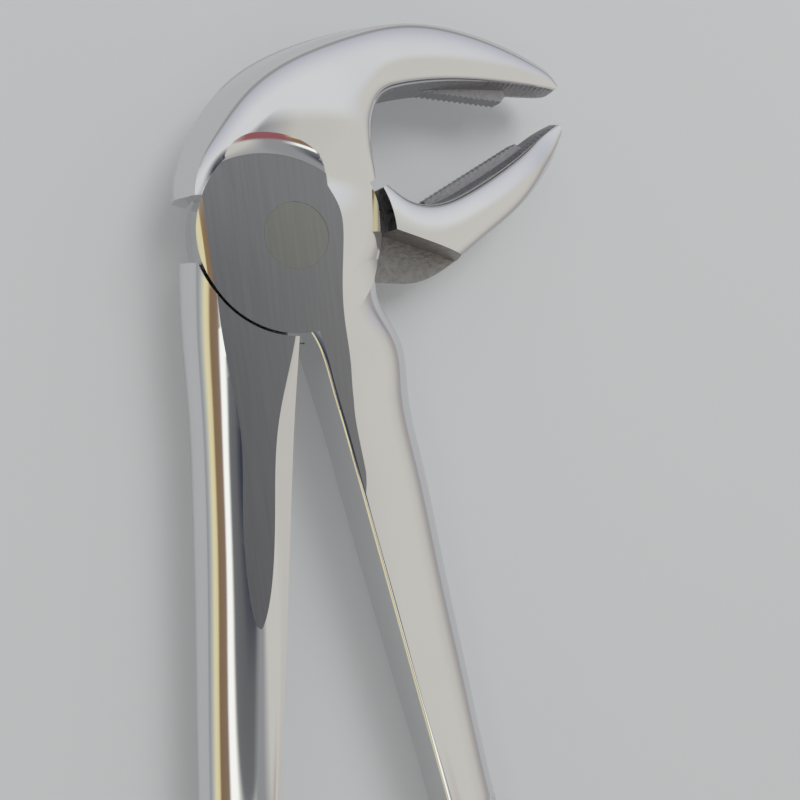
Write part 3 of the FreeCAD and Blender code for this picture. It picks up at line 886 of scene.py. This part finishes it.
@dataclass
class FrontHalf:
    """Upper beak, front lap plate and right handle."""

    joint: Joint

    def build(self) -> bpy.types.Object:
        """Make the finished half."""
        joint = self.joint
        lap_front = joint.middle + joint.lap_clearance / 2
        grip = Handle(joint, 1)
        beak = UpperBeak(joint)
        jaw = beak.blank(grip)
        end = math.radians(joint.upper_end)
        outline = [(0, 0), grip.place(-4, 11.5), grip.place(5.5, 12.8), grip.place(13.5, 18.6),
                   grip.place(24, 18.6), (30, 0), (24 * math.cos(end), 24 * math.sin(end))]
        clear = prism("root_clearance", outline, -FAR, lap_front, Zone.ROUGH)
        notch = prism("notch", [(-2, joint.notch), (-20, joint.notch), (-20, -14), (-2, -14)], -FAR, FAR)
        mills = joint.mills()
        combine(jaw, "DIFFERENCE", [drum("back_recess", joint.recess, -FAR, lap_front, Zone.ROUGH), clear,
                                    notch, joint.sector(-24, joint.upper_end, joint.boss)])
        plate = drum("plate", joint.plate_radius, lap_front, joint.thickness + 2, Zone.ROUGH)
        combine(plate, "INTERSECT", [joint.form()])
        combine(jaw, "UNION", [beak.pad(), plate])
        combine(jaw, "DIFFERENCE", mills + [joint.rivet_hole(joint.seat_clearance)])
        return finish_piece(jaw)


@dataclass
class BackHalf:
    """Lower beak, back lap plate and left handle."""

    joint: Joint

    def build(self) -> bpy.types.Object:
        """Make the finished half."""
        joint = self.joint
        lap_back = joint.middle - joint.lap_clearance / 2
        beak = LowerBeak(joint)
        jaw = beak.blank()
        heel = prism("heel", [(4, 3.2), (12.8, -0.2), (26, -5.2), (26, -14), (4, -14)],
                     lap_back, FAR, Zone.ROUGH)
        combine(jaw, "DIFFERENCE", [drum("shoulder", joint.shoulder, lap_back, FAR, Zone.ROUGH), heel,
                                    joint.sector(joint.lower_end, 120, joint.plate_radius)])
        combine(jaw, "UNION", [beak.pad(), Handle(joint, -1).blank()])
        combine(jaw, "DIFFERENCE", [drum("front_recess", joint.recess, lap_back, FAR, Zone.ROUGH)])
        plate = drum("plate", joint.plate_radius, -2, lap_back, Zone.ROUGH)
        combine(plate, "INTERSECT", [joint.form()])
        combine(jaw, "UNION", [plate])
        combine(jaw, "DIFFERENCE", joint.mills() + [joint.rivet_hole(joint.running_clearance)])
        return finish_piece(jaw)


@dataclass
class Rivet:
    """Rivet, ground flush, with a fine broken edge that shows its outline."""

    joint: Joint
    edge: float = 0.07

    def build(self) -> bpy.types.Object:
        """Make the rivet."""
        joint, edge = self.joint, self.edge
        top, head, shank, depth = joint.thickness, joint.head, joint.shank, joint.head_depth
        profile = [(0, 0), (head - edge, 0), (head, edge), (shank, depth), (shank, top - depth)]
        piece = turned("pivot_pin_dressed", profile + [(head, top - edge), (head - edge, top), (0, top)])
        piece.data.materials.clear()
        piece.data.materials.append(RIVET.material())
        return finish_piece(piece, 20.0)


# ------------------------------------------------------------------ studio
CEILING = (0.33, 0.335, 0.345)
BACKDROP = (0.48, 0.49, 0.50)
WALLS = {
    "right": [(0.0, (0.40, 0.38, 0.40)), (0.12, (0.42, 0.40, 0.39)), (0.30, (0.62, 0.60, 0.56)),
              (0.50, (0.68, 0.66, 0.61)), (0.80, (0.66, 0.65, 0.60)), (1.0, (0.62, 0.60, 0.56))],
    "left": [(0.0, (0.33, 0.35, 0.38)), (0.10, (0.40, 0.42, 0.42)), (0.18, (0.55, 0.56, 0.50)),
             (0.30, (0.86, 0.78, 0.48)), (0.40, (0.80, 0.70, 0.42)), (0.46, (0.26, 0.17, 0.09)),
             (0.64, (0.27, 0.19, 0.14)), (0.68, (1.15, 1.15, 1.10)), (0.76, (1.15, 1.15, 1.10)),
             (0.80, (0.17, 0.18, 0.18)), (0.88, (0.15, 0.15, 0.16)), (0.93, (0.045, 0.05, 0.075)),
             (0.97, (0.05, 0.055, 0.08)), (1.0, (0.16, 0.17, 0.19))],
    "far": [(0.0, (0.42, 0.42, 0.40)), (0.12, (0.32, 0.31, 0.33)), (0.20, (0.52, 0.53, 0.58)),
            (0.50, (0.64, 0.65, 0.70)), (0.80, (0.77, 0.775, 0.78)), (1.0, (0.77, 0.775, 0.78))],
    "near": [(0.0, (0.40, 0.39, 0.37)), (0.30, (0.46, 0.44, 0.40)), (0.60, (0.38, 0.375, 0.37)),
             (0.75, CEILING), (1.0, CEILING)],
    "person": [(0.0, (0.36, 0.13, 0.13)), (0.40, (0.34, 0.12, 0.13)), (1.0, (0.26, 0.12, 0.14))],
}


@dataclass
class Studio:
    """Pale table, room light and camera."""

    floor_height: float
    floor_colour: tuple[float, float, float] = (0.545, 0.56, 0.57)
    floor_evenness: float = 0.3
    floor_half_width: float = 1500.0
    lamp_size: float = 0.5
    lamp_power: float = 4.6
    lamp_place: tuple[float, float, float] = (0.35, 0.45, 0.8)
    stand: tuple[float, float, float] = (-23.7, -8.6, 84.1)
    look: tuple[float, float, float] = (0.4112, -0.1329, -0.9018)
    up: tuple[float, float, float] = (0.1491, 0.9858, -0.0773)
    lens: float = 31.5

    def camera(self) -> None:
        """Place the camera close above the joint, looking slightly across it."""
        back = -Vector(self.look).normalized()
        right = Vector(self.up).cross(back).normalized()
        up = back.cross(right)
        data = bpy.data.cameras.new("camera")
        data.lens = self.lens
        data.sensor_width = 36.0
        data.clip_start = 0.001
        made = bpy.data.objects.new("camera", data)
        turn = Matrix((right, up, back)).transposed().to_4x4()
        made.matrix_world = Matrix.Translation(Vector(self.stand) * MM) @ turn
        bpy.context.scene.collection.objects.link(made)
        bpy.context.scene.camera = made

    def floor(self) -> None:
        """Pale table top under the instrument."""
        bm = bmesh.new()
        bmesh.ops.create_grid(bm, x_segments=1, y_segments=1, size=self.floor_half_width)
        bmesh.ops.translate(bm, vec=(0, 0, self.floor_height), verts=bm.verts)
        top = solid("table_top", bm)
        top.data.materials.clear()
        material = bpy.data.materials.new("pale_table")
        material.use_nodes = True
        shader = Shader(material.node_tree)
        colour = (*self.floor_colour, 1.0)
        paint = shader.node("ShaderNodeBsdfDiffuse", {}, {"Color": colour})
        glow = shader.node("ShaderNodeEmission", {}, {"Color": colour, "Strength": 1.0})
        camera, glossy, transmission = (shader.node("ShaderNodeLightPath", output=i) for i in (0, 3, 6))
        seen = (camera + glossy + transmission).clamp() * self.floor_evenness
        mixed = shader.node("ShaderNodeMixShader", {}, {0: seen, 1: paint, 2: glow})
        shader.node("ShaderNodeOutputMaterial", {}, {"Surface": mixed})
        top.data.materials.append(material)
        top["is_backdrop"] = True

    @staticmethod
    def wall_shares(x: Sock, y: Sock, z: Sock) -> dict[str, Sock]:
        """How far each wall fills the view in a direction, in the order in which they are laid over.

        Args:
            x: the direction's part along X.
            y: the direction's part along Y.
            z: the direction's part along Z.

        Returns:
            A share from 0 to 1 for each wall's name.
        """
        person = ((y * -1.0 - 0.30) * 8.0).clamp() * ((x - 0.02) * 12.0).clamp() * ((0.48 - x) * 10.0).clamp()
        return {"near": (y * -3.0 - 1.2).clamp(), "right": ((x - 0.25) * 11.0).clamp(),
                "left": ((0.14 - x) * 9.0).clamp(), "far": ((y - 0.14) * 8.0).clamp(),
                "person": person * ((0.70 - z) * 10.0).clamp()}

    def room(self) -> None:
        """Soft room light: pale walls, a darker ceiling, warm bands on the left, and a plain backdrop."""
        world = bpy.data.worlds.new("room")
        bpy.context.scene.world = world
        world.use_nodes = True
        shader = Shader(world.node_tree)
        way = shader.node("ShaderNodeTexCoord", output=0)
        x, y, z = (shader.node("ShaderNodeSeparateXYZ", {}, {0: way}, output=i) for i in range(3))
        seen = {name: shader.node("ShaderNodeValToRGB", {"stops": stops}, {"Fac": z})
                for name, stops in WALLS.items()}
        mixed = shader.node("ShaderNodeRGB")
        mixed.link.default_value = (*CEILING, 1.0)
        shares = self.wall_shares(x, y, z)
        for name, share in shares.items():
            mixed = shader.node("ShaderNodeMix", {"data_type": "RGBA"}, {0: share, 6: mixed, 7: seen[name]},
                                output=2)
        direct = shader.node("ShaderNodeLightPath", output=0)
        mixed = shader.node("ShaderNodeMix", {"data_type": "RGBA"},
                            {0: direct, 6: mixed, 7: (*BACKDROP, 1.0)}, output=2)
        light = shader.node("ShaderNodeBackground", {}, {"Color": mixed, "Strength": 1.0})
        shader.node("ShaderNodeOutputWorld", {}, {"Surface": light})

    def lamp(self) -> None:
        """One large soft lamp that gives the table a gentle shadow."""
        data = bpy.data.lights.new("soft_lamp", "AREA")
        data.shape = "RECTANGLE"
        data.size, data.size_y = self.lamp_size, self.lamp_size
        data.energy = self.lamp_power
        made = bpy.data.objects.new("soft_lamp", data)
        made.location = self.lamp_place
        made.visible_glossy = False
        made.rotation_euler = (-made.location).to_track_quat("-Z", "Y").to_euler()
        bpy.context.scene.collection.objects.link(made)

    def build(self) -> None:
        """Make the whole studio."""
        self.floor()
        self.room()
        self.lamp()
        self.camera()


def main() -> None:
    """Load the frame, dress both halves and the rivet, and set the studio."""
    logging.basicConfig(level=logging.INFO, format="%(name)s: %(message)s")
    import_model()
    cad_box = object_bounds()
    low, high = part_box("pivot_pin")
    joint = Joint(thickness=(high[2] - low[2]) / MM)
    pieces = {
        "upper_beak_half": (FrontHalf(joint).build(), "front_half", "front_forging"),
        "lower_beak_half": (BackHalf(joint).build(), "back_half", "back_forging"),
        "pivot_pin": (Rivet(joint).build(), "front_half", "rivet"),
    }
    for node, (piece, body, slot) in pieces.items():
        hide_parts(node)
        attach(piece, body)
        LOG.info("%s: %d faces", piece.name, len(piece.data.polygons))
    Studio(floor_height=cad_box[0][2] / MM).build()
    bpy.context.scene.view_settings.view_transform = "Standard"


if __name__ == "__main__":
    main()
